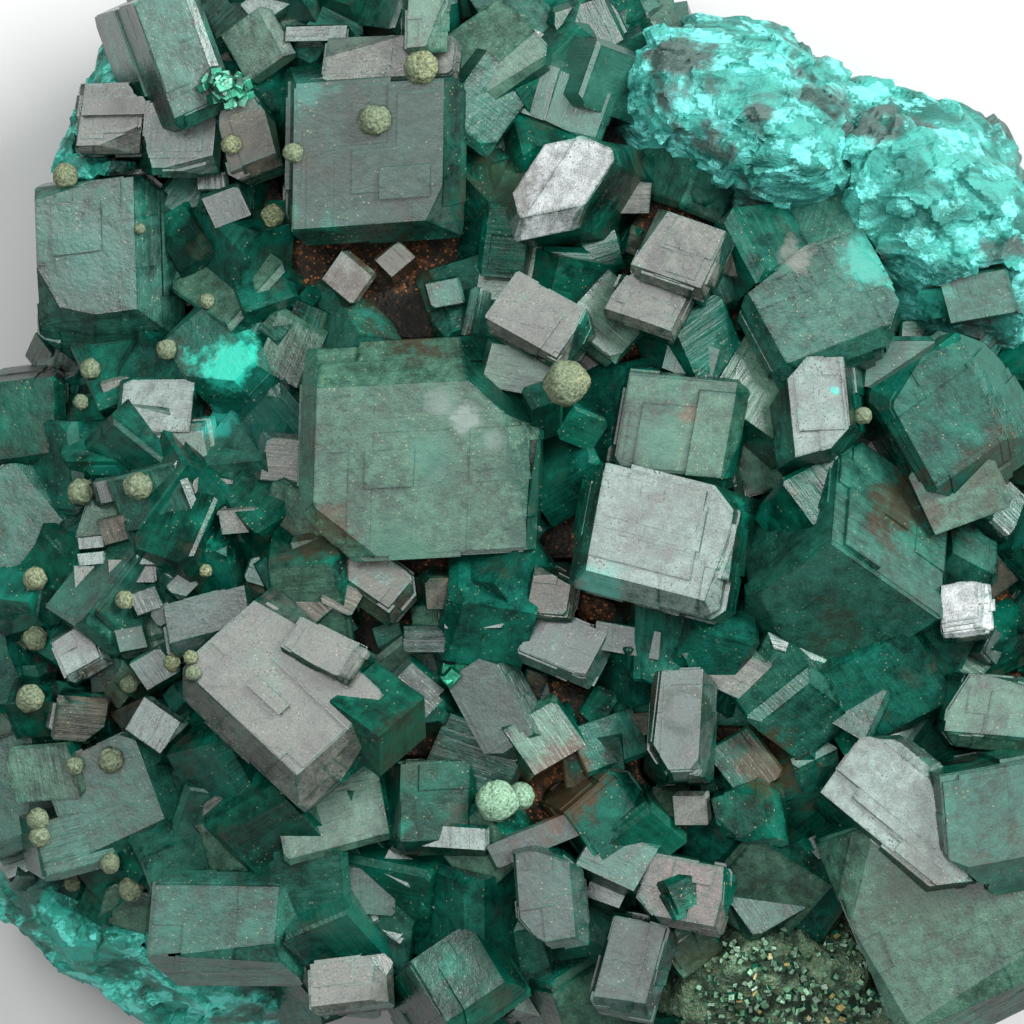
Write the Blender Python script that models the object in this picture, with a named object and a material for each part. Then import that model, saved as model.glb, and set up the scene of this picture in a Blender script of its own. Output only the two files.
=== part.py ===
"""Dioptase specimen: emerald-green dioptase crystals on a slab of iron-stained rock.

The specimen lies on the flat underside of its rock with the crystals up. The origin is in
the middle of that flat, +Z points up out of the crystals, and +Y points at the rear edge,
where the broken turquoise ridge begins. Each crystal, ridge, crust and botryoidal ball is
a solid of its own, and the rock has a socket under each one.

A crystal is cut from a block by the face planes of dioptase: the rhombohedron {02-21},
whose faces meet at nearly right angles, and the hexagonal prism {11-20}, which bevels it.
"""

import math
from typing import NamedTuple

import bmesh
import bpy
import numpy as np
from mathutils import Matrix, Vector, noise

MM = 0.001
GAP = 0.3 * MM
TURN = 2 * math.pi

# Dioptase's unit cell, as c / a, gives the angle from the c axis to a {02-21} face.
AXIAL_RATIO = 0.5335
RHOMB_POLAR = math.atan(AXIAL_RATIO * 4 / math.sqrt(3))

# The rock: radius of its outline at even steps round from +X, and its levels.
OUTLINE_MM = [
    47.5, 47.5, 46.0, 44.0, 40.5, 41.5, 45.5, 47.5, 48.0, 44.5, 41.5, 38.5,
    41.0, 44.5, 48.5, 49.5, 44.5, 38.5, 40.0, 45.0, 50.5, 52.0, 51.0, 49.0,
]
ROCK_SHOULDER = 16 * MM
ROCK_CROWN = 30 * MM
ROCK_FOOT = 0.86
ROCK_ROUGHNESS = 1.5 * MM
ROCK_GRAIN = 9 * MM


class Crystal(NamedTuple):
    """A crystal by its main face. Lengths are in millimetres and angles in degrees."""

    name: str
    face: tuple  # the middle of the main face
    size: tuple  # the main face's two edges, and the depth behind it
    spin: float  # direction of the first edge, seen from above
    lean: float = 0  # how far the main face leans from level
    toward: float = 0  # the direction that it leans in
    bevel: tuple = (0.5, 0.5, 0.5)  # how far the prism cuts back two edges and a corner


# The earlier a crystal stands here, the more it kept of the space where two grew into one.
CRYSTALS = [
    Crystal("crystal_bright_square", (10.7, -2.1, 38), (12.2, 10.0, 14), 165, 12, 130, (1.2, 1.0, 0.8)),
    Crystal("crystal_lower_left_slab", (-14.5, -10.8, 38.6), (3.2, 6.0, 12), -122, 13, 120, (0.2, 0.3, 0.2)),
    Crystal("crystal_lower_left_giant", (-17.6, -14.6, 37.5), (11.2, 15, 17), -138, 9, 115, (1.4, 1.8, 1.8)),
    Crystal("crystal_central_giant", (-7.3, 4.8, 36.5), (16.6, 18.8, 17), 88, 8, 270, (2.2, 1.0, 3.4)),
    Crystal("crystal_smooth_overgrowth", (39.4, -24.4, 40), (10, 12, 16), -85, 5, 0, (2.0, 2.0, 3.0)),
    Crystal("crystal_lower_right_bright", (31.8, -23.1, 37.8), (14.5, 8, 16), -40, 12, 110, (1.0, 1.0, 2.4)),
    Crystal("crystal_lower_right_giant", (35.0, -31.0, 36), (19, 17, 18), -68, 9, 230, (2.0, 2.0, 3.2)),
    Crystal("crystal_rear_bright", (3.6, 25.4, 37), (9.4, 6.8, 15), 190, 17, 135, (0.8, 1.0, 3.2)),
    Crystal("crystal_square_pair_rear", (13.2, 20.1, 37.5), (5.6, 6.4, 12), -115, 12, 112, (0.5, 0.5, 0.3)),
    Crystal("crystal_square_pair_front", (10.6, 16.0, 36.5), (3.6, 6.0, 12), -115, 12, 112, (0.4, 0.4, 0.2)),
    Crystal("crystal_speckled", (2.0, 14.8, 38.5), (5.2, 7.4, 12), -125, 13, 120, (0.6, 0.6, 0.9)),
    Crystal("crystal_right_bright", (23.0, 7.6, 37), (6.4, 9.0, 15), 181, 13, 130, (1.4, 0.8, 2.6)),
    Crystal("crystal_stepped", (13.3, 6.2, 34.5), (8.6, 9.8, 13), -100, 4, 270, (0.8, 1.0, 0.8)),
    Crystal("crystal_trigonal", (25.2, -9.2, 33), (14, 14, 14), -137, 42, 262, (2.0, 2.0, 2.0)),
    Crystal("crystal_rear_grey_green", (24.0, 16.0, 34.2), (11.6, 9.6, 14), 202, 17, 95, (1.0, 1.0, 2.2)),
    Crystal("crystal_notched", (13.4, -16.6, 35), (8.8, 5.0, 14), -93, 11, 110, (0.5, 0.9, 0.9)),
    Crystal("crystal_vivid_green", (18.6, -24.2, 34), (5.2, 5.0, 12), -78, 14, 200, (1.0, 1.0, 1.0)),
    Crystal("crystal_front_pentagon", (3.1, -30.2, 35), (8.0, 5.4, 13), -85, 5, 200, (0.6, 0.8, 1.9)),
    Crystal("crystal_rear_left_block", (-10.3, 27.2, 35), (12.6, 13.6, 16), -91, 6, 265, (1.2, 1.4, 1.0)),
    Crystal("crystal_rear_left_roof", (-9.4, 34.8, 34.8), (5.0, 10.6, 12), -96, 14, 110, (0.4, 0.4, 0.6)),
    Crystal("crystal_rear_rectangle", (-6.5, 39.0, 36.5), (6.4, 3.2, 12), -91, 8, 100, (0.3, 0.3, 0.3)),
    Crystal("crystal_left_round", (-31.8, 18.9, 28), (14.5, 11.5, 14), -88, 7, 180, (3.0, 2.6, 2.2)),
    Crystal("crystal_turquoise", (-22.6, 12.2, 30), (9.5, 6.8, 12), -50, 18, 150, (2.0, 1.2, 1.6)),
    Crystal("crystal_dark_prism", (-25.4, 35.8, 33.5), (10.5, 5.4, 12), -70, 12, 20, (0.8, 0.6, 0.4)),
    Crystal("crystal_left_grey_slab", (-25.8, 29.6, 30), (6.2, 6.2, 10), -95, 4, 100, (0.4, 0.5, 0.5)),
    Crystal("crystal_brown_twin", (-20.4, 29.4, 31), (7.6, 4.6, 10), -75, 6, 300, (0.9, 0.6, 1.2)),
    Crystal("crystal_beige", (-10.9, -5.4, 33.5), (4.2, 6.8, 12), -130, 6, 120, (0.8, 0.8, 1.0)),
    Crystal("crystal_grey_blue", (-0.9, -15.5, 32.5), (8.6, 5.6, 12), -62, 6, 200, (1.0, 1.0, 1.6)),
    Crystal("crystal_under_square", (4.2, -10.6, 33.5), (4.6, 6.4, 11), -118, 8, 120, (0.5, 0.6, 0.5)),
    Crystal("crystal_beside_square", (3.2, -6.4, 34.5), (4.2, 3.6, 10), -100, 7, 150, (0.4, 0.4, 0.4)),
    Crystal("crystal_left_striated", (-23.3, -8.4, 32), (4.2, 7.6, 11), -80, 18, 100, (0.8, 0.8, 0.6)),
    Crystal("crystal_right_dark", (35.8, 7.4, 33), (12, 11, 14), -60, 10, 20, (2.2, 2.2, 2.2)),
    Crystal("crystal_right_square", (35.5, -7.5, 34), (4.1, 4.1, 12), -87, 12, 120, (0.3, 0.3, 0.2)),
    Crystal("crystal_right_front", (39.0, -15.8, 35), (5.6, 10, 12), -100, 6, 100, (0.8, 0.8, 0.8)),
    Crystal("crystal_dark_front", (8.8, -25.0, 32), (8.6, 6.2, 11), -55, 12, 330, (1.0, 1.0, 1.0)),
    Crystal("crystal_rosy", (13.6, -30.0, 32.5), (5.4, 7.2, 11), -105, 6, 150, (0.5, 0.6, 0.8)),
    Crystal("crystal_dark_left_front", (-5.6, -23.2, 31.5), (7.2, 6.6, 11), -92, 14, 20, (0.8, 0.8, 0.6)),
    Crystal("crystal_deep_green", (-2.8, -36.4, 31), (7.4, 8.0, 12), -60, 20, 60, (1.5, 1.5, 1.0)),
    Crystal("crystal_front_speckled", (-12.6, -37.3, 28.5), (4.2, 6.6, 11), -88, 9, 120, (0.6, 0.6, 0.5)),
    Crystal("crystal_front_grey", (9.6, -36.0, 31), (8.0, 5.2, 11), -105, 4, 160, (0.8, 0.8, 0.8)),
    Crystal("crystal_front_left_striated", (-22.2, -33.4, 29), (9.6, 12.5, 13), -95, 6, 260, (2.4, 2.0, 2.0)),
    Crystal("crystal_left_brown", (-31.0, -22.8, 28), (9.6, 10, 13), -70, 5, 230, (1.5, 1.5, 2.0)),
    Crystal("crystal_left_on_green", (-33.9, -10.9, 28.5), (4.0, 3.9, 10), -66, 12, 120, (0.6, 0.6, 0.4)),
    Crystal("crystal_left_stepped", (-31.4, 31.0, 28.5), (5.6, 5.6, 10), -94, 7, 110, (0.5, 0.5, 0.4)),
    Crystal("crystal_left_green", (-38.6, 7.0, 25), (6.8, 6.6, 11), -88, 10, 200, (0.6, 0.6, 0.6)),
    Crystal("crystal_left_pale", (-39.0, -0.6, 24.5), (8.0, 8.0, 11), -50, 8, 190, (1.0, 1.0, 1.0)),
    Crystal("crystal_left_turquoise", (-42.0, -11.4, 22.5), (10.6, 7.4, 11), -80, 12, 190, (1.2, 1.2, 1.2)),
    Crystal("crystal_left_front", (-39.4, -22.4, 23.5), (9.0, 7.6, 11), -75, 9, 205, (1.0, 1.0, 1.0)),
    Crystal("crystal_side_hidden", (45.0, -2.2, 26), (8.0, 8.0, 11), -40, 28, 5, (1.0, 1.0, 1.0)),
]


class Lump(NamedTuple):
    """A crust or ridge: a noisy ellipsoid. Lengths are in millimetres, angles in degrees."""

    name: str
    middle: tuple
    radii: tuple
    spin: float
    roughness: float
    grain: float
    detail: int  # subdivisions of the icosphere
    colour: tuple


TURQUOISE = (0.10, 0.52, 0.43)
MOSS = (0.20, 0.26, 0.14)
LUMPS = [
    Lump("ridge_rear", (18.5, 30.5, 19), (11.5, 7.5, 15), -25, 1.7, 6, 4, TURQUOISE),
    Lump("ridge_right", (33.0, 23.2, 16), (13.5, 8.5, 16), -42, 1.7, 6, 4, TURQUOISE),
    Lump("rim_left", (-32.2, 26.5, 14), (4.4, 13.5, 12), -14, 1.4, 5, 3, TURQUOISE),
    Lump("rim_front_left", (-29.0, -34.4, 12), (14.0, 5.2, 11), -23, 1.4, 5, 3, TURQUOISE),
    Lump("moss_crust", (22.0, -37.5, 19), (10.5, 7.0, 11), 5, 1.5, 5, 3, MOSS),
]


class Ball(NamedTuple):
    """A botryoidal ball that sits on the crystals. Lengths are in millimetres."""

    name: str
    middle: tuple
    radius: float
    squash: float


BALLS = [
    Ball("ball_olive_large", (4.3, 10.0, 38.2), 2.0, 0.9),
    Ball("ball_rear_large", (-7.1, 34.6, 35.4), 1.45, 0.85),
    Ball("ball_rear_small", (-10.7, 30.6, 35.4), 1.3, 0.8),
    Ball("ball_mint_pitted", (-0.7, -22.6, 28.5), 2.1, 0.8),
    Ball("ball_left_yellow", (-38.1, -14.6, 22.7), 1.2, 0.9),
]
BALL_PITTING = 0.06


def clear_scene():
    for obj in list(bpy.data.objects):
        bpy.data.objects.remove(obj)


def new_collection(name):
    collection = bpy.data.collections.new(name)
    bpy.context.scene.collection.children.link(collection)
    return collection


def material(name, colour, roughness):
    """An opaque stone finish."""
    made = bpy.data.materials.new(name)
    made.use_nodes = True
    shader = made.node_tree.nodes["Principled BSDF"]
    shader.inputs["Base Color"].default_value = (*colour, 1)
    shader.inputs["Roughness"].default_value = roughness
    shader.inputs["Metallic"].default_value = 0
    return made


def add_object(name, bm, collection, finish=None):
    mesh = bpy.data.meshes.new(name)
    bm.to_mesh(mesh)
    bm.free()
    obj = bpy.data.objects.new(name, mesh)
    collection.objects.link(obj)
    if finish:
        mesh.materials.append(finish)
    return obj


def rhomb_normals():
    """The three rhombohedral faces round one end of the c axis, turned so that the first
    looks along +Z, the second about -Y and the third about -X."""
    def about_c(azimuth):
        return Vector((
            math.sin(RHOMB_POLAR) * math.cos(azimuth),
            math.sin(RHOMB_POLAR) * math.sin(azimuth),
            math.cos(RHOMB_POLAR),
        ))

    main, second, third = about_c(0), about_c(-TURN / 3), about_c(TURN / 3)
    along = main.cross(second).normalized()
    to_face_frame = Matrix((along, main.cross(along), main))
    return [to_face_frame @ n for n in (main, second, third)]


def crystal_planes(crystal):
    """Each face of a crystal as (outward normal, distance from the crystal's middle), with
    the rotation and the middle that place it."""
    main, second, third = rhomb_normals()
    length, width, depth = (s * MM for s in crystal.size)
    first_edge = main.cross(second).normalized()
    second_edge = third.cross(main).normalized()
    depth_edge = second.cross(third).normalized()
    if depth_edge.z > 0:
        depth_edge.negate()
    halves = [
        (main, depth / 2),
        (second, abs(second.dot(second_edge)) * width / 2),
        (third, abs(third.dot(first_edge)) * length / 2),
    ]
    planes = [(sign * n, d) for n, d in halves for sign in (1, -1)]
    # A prism face bevels the edge between one rhomb face and the opposite of another.
    for (i, j), cut in zip(((0, 2), (0, 1), (1, 2)), crystal.bevel):
        (n, d), (m, e) = halves[i], halves[j]
        across = n - m
        distance = (d + e) / across.length - cut * MM
        planes += [(sign * across.normalized(), distance) for sign in (1, -1)]
    toward = math.radians(crystal.toward)
    lean_axis = Vector((-math.sin(toward), math.cos(toward), 0))
    turn = Matrix.Rotation(math.radians(crystal.lean), 3, lean_axis)
    turn = turn @ Matrix.Rotation(math.radians(crystal.spin), 3, "Z")
    to_middle = depth_edge * (depth / 2 / abs(depth_edge.z))
    middle = Vector(crystal.face) * MM + turn @ to_middle
    return planes, turn, middle


def cleaved_block(crystal, swell=0):
    """The crystal as a block with everything outside its face planes cut away."""
    planes, turn, middle = crystal_planes(crystal)
    bm = bmesh.new()
    bmesh.ops.create_cube(bm, size=4 * max(crystal.size) * MM)
    for normal, distance in planes:
        cut = bmesh.ops.bisect_plane(
            bm,
            geom=[*bm.verts, *bm.edges, *bm.faces],
            plane_co=normal * (distance + swell),
            plane_no=normal,
            dist=1e-7,
            clear_outer=True,
        )
        rim = [e for e in cut["geom_cut"] if isinstance(e, bmesh.types.BMEdge)]
        if rim:
            bmesh.ops.edgeloop_fill(bm, edges=rim)
    bmesh.ops.recalc_face_normals(bm, faces=bm.faces)
    bmesh.ops.transform(bm, matrix=Matrix.Translation(middle) @ turn.to_4x4(), verts=bm.verts)
    return bm


def rough(point, grain, seed):
    """Smooth noise from -1 to 1, with a finer second octave."""
    at = point / grain + Vector((seed, 2 * seed, 3 * seed))
    return noise.noise(at) + 0.45 * noise.noise(2.3 * at)


def lump_body(lump, seed, swell=0):
    """An icosphere stretched to the lump's radii and roughened."""
    bm = bmesh.new()
    bmesh.ops.create_icosphere(bm, subdivisions=lump.detail, radius=1)
    turn = Matrix.Rotation(math.radians(lump.spin), 3, "Z")
    radii = Vector(lump.radii) * MM
    for vert in bm.verts:
        out = vert.co.normalized()
        place = Vector(r * c for r, c in zip(radii, out))
        place += out * (lump.roughness * MM * rough(place, lump.grain * MM, seed) + swell)
        vert.co = turn @ place + Vector(lump.middle) * MM
        vert.co.z = max(vert.co.z, 2 * MM)
    return bm


def ball_body(ball, seed, swell=0):
    """A small icosphere, pressed flatter and pitted."""
    bm = bmesh.new()
    bmesh.ops.create_icosphere(bm, subdivisions=3, radius=1)
    for vert in bm.verts:
        out = vert.co.normalized()
        size = ball.radius * MM * (1 + BALL_PITTING * rough(out, 0.35, seed)) + swell
        vert.co = Vector((out.x, out.y, out.z * ball.squash)) * size
        vert.co += Vector(ball.middle) * MM
    return bm


def outline_radius(azimuth):
    """The rock's radius at an azimuth: a smooth closed curve through OUTLINE_MM."""
    count = len(OUTLINE_MM)
    at = azimuth % TURN / TURN * count
    i = int(at)
    t = at - i
    a, b, c, d = (OUTLINE_MM[(i + k) % count] for k in (-1, 0, 1, 2))
    return MM * (b + t * ((c - a) + t * ((2 * a - 5 * b + 4 * c - d) + t * (3 * b - a - 3 * c + d))) / 2)


def rock_body():
    """A sphere pressed into a low dome with steep sides and a flat underside."""
    bm = bmesh.new()
    bmesh.ops.create_uvsphere(bm, u_segments=64, v_segments=30, radius=1)
    for vert in bm.verts:
        x, y, z = vert.co
        across = min(1, math.hypot(x, y))
        radius = outline_radius(math.atan2(y, x))
        if z > 0:
            share = across**1.1
            height = ROCK_SHOULDER + (ROCK_CROWN - ROCK_SHOULDER) * z
        else:
            share = ROCK_FOOT + (1 - ROCK_FOOT) * across**4 if across > 0.55 else ROCK_FOOT * across / 0.55
            height = ROCK_SHOULDER * (1 + min(0, z) / 0.83)
        flat = Vector((x, y, 0)).normalized() * radius * share if across else Vector()
        place = flat + Vector((0, 0, height))
        shift = ROCK_ROUGHNESS * rough(place, ROCK_GRAIN, 5)
        place += Vector((flat.x, flat.y, 20 * MM * max(z, 0))).normalized() * shift
        place.z = max(place.z, 0)
        vert.co = place
    bmesh.ops.dissolve_limit(bm, angle_limit=math.radians(0.5), verts=bm.verts, edges=bm.edges)
    bmesh.ops.triangulate(bm, faces=bm.faces)
    return bm


def largest_island(mesh):
    """Keeps the largest connected body of a mesh, because a cut can leave loose splinters."""
    bm = bmesh.new()
    bm.from_mesh(mesh)
    bmesh.ops.remove_doubles(bm, verts=bm.verts, dist=1e-6)
    left = set(bm.faces)
    islands = []
    while left:
        island, todo = set(), [left.pop()]
        while todo:
            face = todo.pop()
            island.add(face)
            for edge in face.edges:
                for other in edge.link_faces:
                    if other in left:
                        left.discard(other)
                        todo.append(other)
        islands.append(island)
    keep = max(islands, key=lambda island: sum(f.calc_area() for f in island))
    bmesh.ops.delete(bm, geom=[f for f in bm.faces if f not in keep], context="FACES")
    bm.to_mesh(mesh)
    bm.free()


def reach(obj):
    """The lowest and highest corner of an object's mesh."""
    places = np.array([v.co for v in obj.data.vertices])
    return places.min(axis=0), places.max(axis=0)


def near(a, b):
    """Whether two objects' boxes overlap."""
    (low_a, high_a), (low_b, high_b) = reach(a), reach(b)
    return bool((low_a < high_b).all() and (low_b < high_a).all())


def cut_away(obj, cutters):
    """Cuts the space of each cutter out of an object and keeps what hangs together."""
    for cutter in cutters:
        if not near(obj, cutter):
            continue
        modifier = obj.modifiers.new("socket_" + cutter.name, "BOOLEAN")
        modifier.operation = "DIFFERENCE"
        modifier.object = cutter
    if obj.modifiers:
        graph = bpy.context.evaluated_depsgraph_get()
        cut = bpy.data.meshes.new_from_object(obj.evaluated_get(graph), depsgraph=graph)
        obj.modifiers.clear()
        obj.data = cut
        largest_island(cut)


def add_pair(name, make, parts, cutters, finish):
    """A part, and its cutter: the same shape swollen by the gap that its neighbours keep."""
    part = add_object(name, make(0), parts, finish)
    cutter = add_object("cutter_" + name, make(GAP), cutters)
    cutter.hide_render = True
    cutter.display_type = "WIRE"
    return part, cutter


def main():
    clear_scene()
    parts = new_collection("dioptase_specimen")
    cutters = new_collection("sockets")
    green = material("dioptase", (0.012, 0.16, 0.105), 0.12)
    rock_brown = material("iron_stained_rock", (0.11, 0.065, 0.04), 0.85)
    lime = material("botryoid", (0.36, 0.40, 0.20), 0.6)
    pairs = [
        add_pair(c.name, lambda swell, c=c: cleaved_block(c, swell), parts, cutters, green)
        for c in CRYSTALS
    ]
    # The balls grew last, on top of the crystals, so they press no socket into them.
    for seed, b in enumerate(BALLS):
        pairs.append(
            add_pair(b.name, lambda swell, b=b, s=seed: ball_body(b, s, swell), parts, cutters, lime)
        )
    for seed, k in enumerate(LUMPS):
        finish = material("crust_" + k.name, k.colour, 0.55)
        pairs.append(
            add_pair(k.name, lambda swell, k=k, s=seed: lump_body(k, 11 + s, swell), parts, cutters, finish)
        )
    for i, (part, _) in enumerate(pairs):
        cut_away(part, [cutter for _, cutter in pairs[:i]])
    rock = add_object("matrix_rock", rock_body(), parts, rock_brown)
    cut_away(rock, [cutter for _, cutter in pairs])


main()
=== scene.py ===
"""The looks of a dioptase specimen: emerald crystals with grey growth faces, whose grey is partly
a painted reflection of the lights, crowded on a slab of rusty rock that is rimmed with broken
turquoise-green mineral and dotted with pale balls."""

import itertools
import math

import bmesh
import bpy
import numpy as np
from mathutils import Matrix, Vector
from mathutils.bvhtree import BVHTree


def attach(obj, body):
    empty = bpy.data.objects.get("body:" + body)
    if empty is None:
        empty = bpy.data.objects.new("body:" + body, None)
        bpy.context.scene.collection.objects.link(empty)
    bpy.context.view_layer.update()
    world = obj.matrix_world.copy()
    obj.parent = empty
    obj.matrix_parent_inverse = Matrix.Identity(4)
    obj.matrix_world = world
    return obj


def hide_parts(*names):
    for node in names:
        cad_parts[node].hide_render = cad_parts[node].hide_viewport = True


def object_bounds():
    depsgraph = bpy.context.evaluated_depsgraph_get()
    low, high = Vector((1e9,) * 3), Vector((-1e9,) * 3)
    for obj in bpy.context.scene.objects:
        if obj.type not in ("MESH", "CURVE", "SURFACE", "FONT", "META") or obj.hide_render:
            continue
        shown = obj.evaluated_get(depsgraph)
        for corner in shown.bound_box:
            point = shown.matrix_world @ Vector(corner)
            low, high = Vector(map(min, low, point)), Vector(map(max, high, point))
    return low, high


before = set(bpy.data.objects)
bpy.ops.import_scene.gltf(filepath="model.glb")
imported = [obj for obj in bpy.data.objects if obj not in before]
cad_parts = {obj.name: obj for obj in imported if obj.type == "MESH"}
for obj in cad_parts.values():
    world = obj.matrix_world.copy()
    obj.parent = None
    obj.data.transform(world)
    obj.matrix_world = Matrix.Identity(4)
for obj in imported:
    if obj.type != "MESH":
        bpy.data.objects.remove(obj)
cad_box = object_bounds()
MM = 0.001
SKY = 100 * MM  # a height above everything, from which lines are cast down
DOWN = Vector((0, 0, -1))


# The rock underneath. It is a vein of sandstone soaked with iron, so it is rough and rusty
# brown, and darker where it is deep between the crystals. Everything else grew on it.


class Flow:
    """A shader socket that takes part in sums. Sums of numbers add Math nodes, and sums with a
    vector or a colour add Vector Math nodes."""

    def __init__(self, socket):
        self.socket = socket
        self.tree = socket.id_data

    def make(self, kind, settings=(), sockets=(), out=0):
        """Adds a node of one type, with its settings, then its sockets' values or links."""
        node = self.tree.nodes.new(kind)
        for name, value in dict(settings).items():
            setattr(node, name, value)
        for key, value in dict(sockets).items():
            socket = node.inputs[key]
            if isinstance(value, Flow):
                self.tree.links.new(value.socket, socket)
            elif socket.type == "RGBA" and len(value) == 3:
                socket.default_value = (*value, 1)
            elif socket.type == "VECTOR" and isinstance(value, (int, float)):
                socket.default_value = (value,) * 3
            else:
                socket.default_value = value
        return Flow(node.outputs[out])

    def sum(self, operation, *terms):
        """One operation on two terms, which are sockets, numbers or vectors."""
        types = [t.socket.type if isinstance(t, Flow) else type(t) for t in terms]
        many = any(t in ("VECTOR", "RGBA", tuple) for t in types)
        kind = "ShaderNodeVectorMath" if many else "ShaderNodeMath"
        return self.make(kind, {"operation": operation}, enumerate(terms))

    def __add__(self, other):
        return self.sum("ADD", self, other)

    def __radd__(self, other):
        return self.sum("ADD", other, self)

    def __sub__(self, other):
        return self.sum("SUBTRACT", self, other)

    def __rsub__(self, other):
        return self.sum("SUBTRACT", other, self)

    def __mul__(self, other):
        return self.sum("MULTIPLY", self, other)

    def __rmul__(self, other):
        return self.sum("MULTIPLY", other, self)

    def size(self):
        """The size of this number, without its sign."""
        return self.make("ShaderNodeMath", {"operation": "ABSOLUTE"}, {0: self})

    def ramp(self, low, high, top=1.0):
        """0 below low, top above high, and a smooth step between. It falls if low > high."""
        settings = {"interpolation_type": "SMOOTHSTEP"}
        span = {"From Min": low, "From Max": high, "To Max": top}
        return self.make("ShaderNodeMapRange", settings, {"Value": self, **span})

    def mix(self, first, second):
        """The first colour where this is 0 and the second where it is 1."""
        settings = {"data_type": "RGBA"}
        return self.make("ShaderNodeMix", settings, {0: self, 6: first, 7: second}, out=2)

    def noise(self, scale, detail=3, rough=0.55, warp=0.0):
        """Cloudy noise round 0.5 at this place."""
        sockets = {"Vector": self, "Scale": scale, "Detail": detail, "Roughness": rough}
        return self.make("ShaderNodeTexNoise", {}, {**sockets, "Distortion": warp})

    def cells(self, scale, out="Distance"):
        """Voronoi cells: how far the nearest cell's middle is from this place, or its colour."""
        return self.make("ShaderNodeTexVoronoi", {}, {"Vector": self, "Scale": scale}, out)

    def distance(self, point=(0, 0, 0)):
        """How far this place is from a point."""
        settings = {"operation": "DISTANCE"}
        return self.make("ShaderNodeVectorMath", settings, {0: self, 1: point}, out="Value")

    def part(self, name):
        """One part of this: X, Y or Z of a vector, or Red, Green or Blue of a colour."""
        vector = self.socket.type == "VECTOR"
        kind = "ShaderNodeSeparateXYZ" if vector else "ShaderNodeSeparateColor"
        return self.make(kind, {}, {0: self}, out=name)

    def relief(self, depth):
        """A bumped normal from this height, where 1 stands up by depth in metres."""
        return self.make("ShaderNodeBump", {}, {"Height": self, "Distance": depth, "Strength": 1.0})


def finish_of(name):
    """A new material, the place on the piece in millimetres, and its shader's inputs."""
    material = bpy.data.materials.new(name)
    material.use_nodes = True
    shader = material.node_tree.nodes["Principled BSDF"]
    place = Flow(shader.inputs["Alpha"]).make("ShaderNodeTexCoord", out="Object") * (1 / MM)
    return material, place, shader


def wire(shader, **inputs):
    """Plugs values and links into a shader's sockets, with _ for the spaces in their names."""
    for name, value in inputs.items():
        socket = shader.inputs[name.replace("_", " ")]
        if isinstance(value, Flow):
            shader.id_data.links.new(value.socket, socket)
        else:
            socket.default_value = value


def stony(name, colours, patch, grit, dull):
    """Broken stone: dark, middle and light colours in patches, with specks of a fourth and
    gritty relief."""
    material, place, shader = finish_of(name)
    dark, middle, light, speck = colours
    broad = place.noise(patch, 4, 0.6)
    fine = place.noise(grit, 4, 0.7)
    colour = broad.ramp(0.38, 0.55).mix(dark, middle)
    colour = (fine * 0.6 + broad * 0.4).ramp(0.5, 0.66).mix(colour, light)
    flakes = place.cells(grit * 1.7)
    colour = (flakes.ramp(0.30, 0.22) * broad.ramp(0.46, 0.52)).mix(colour, speck)
    height = fine * 0.7 + broad * 0.5 + flakes * 0.5
    wire(shader, Base_Color=colour, Roughness=(dull - 0.25 * fine), Normal=height.relief(0.5 * MM))
    return material


HASH = (127.1, 311.7, 74.7)  # turns a lattice corner into a number
HASH_SCALE = 43758.5453


def cloud(points, grain, seed):
    """Smooth noise from -1 to 1: a random value at each corner of a lattice with this grain,
    blended across each cube by the smooth step 3t^2 - 2t^3."""
    at = points / grain + seed * 17.31
    cell = np.floor(at)
    t = at - cell
    t = t * t * (3 - 2 * t)
    total = np.zeros(len(points))
    for corner in itertools.product((0, 1), repeat=3):
        knot = np.sin((cell + corner) @ HASH) * HASH_SCALE
        total += np.where(corner, t, 1 - t).prod(axis=1) * (2 * (knot - np.floor(knot)) - 1)
    return total


def place_in_scene(name, mesh, material, *nodes, slot):
    """Adds a finished piece that rides on the specimen, and hides the CAD nodes it stands for."""
    piece = bpy.data.objects.new(name, mesh)
    bpy.context.scene.collection.objects.link(piece)
    if mesh.materials:
        mesh.materials.clear()
    mesh.materials.append(material)
    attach(piece, "root")
    if nodes:
        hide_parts(*nodes)
    return piece


def even_copy(node, voxel):
    """A CAD node's mesh, merged and remade in even squares of one size."""
    bm = bmesh.new()
    bm.from_mesh(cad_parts[node].data)
    bmesh.ops.remove_doubles(bm, verts=bm.verts, dist=1e-6)
    mesh = bpy.data.meshes.new(node)
    bm.to_mesh(mesh)
    bm.free()
    rough = bpy.data.objects.new(node, mesh)
    bpy.context.scene.collection.objects.link(rough)
    remesh = rough.modifiers.new("even", "REMESH")
    remesh.mode = "VOXEL"
    remesh.voxel_size = voxel
    graph = bpy.context.evaluated_depsgraph_get()
    even = bpy.data.meshes.new_from_object(rough.evaluated_get(graph), depsgraph=graph)
    bpy.data.objects.remove(rough)
    return even


def corners_of(mesh):
    """The mesh's corners and their normals, as arrays."""
    places = np.empty(len(mesh.vertices) * 3)
    normals = np.empty(len(mesh.vertices) * 3)
    mesh.vertices.foreach_get("co", places)
    mesh.vertices.foreach_get("normal", normals)
    return places.reshape(-1, 3), normals.reshape(-1, 3)


def move_corners(mesh, places):
    """Puts the mesh's corners at new places."""
    mesh.vertices.foreach_set("co", places.ravel())
    mesh.update()


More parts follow.
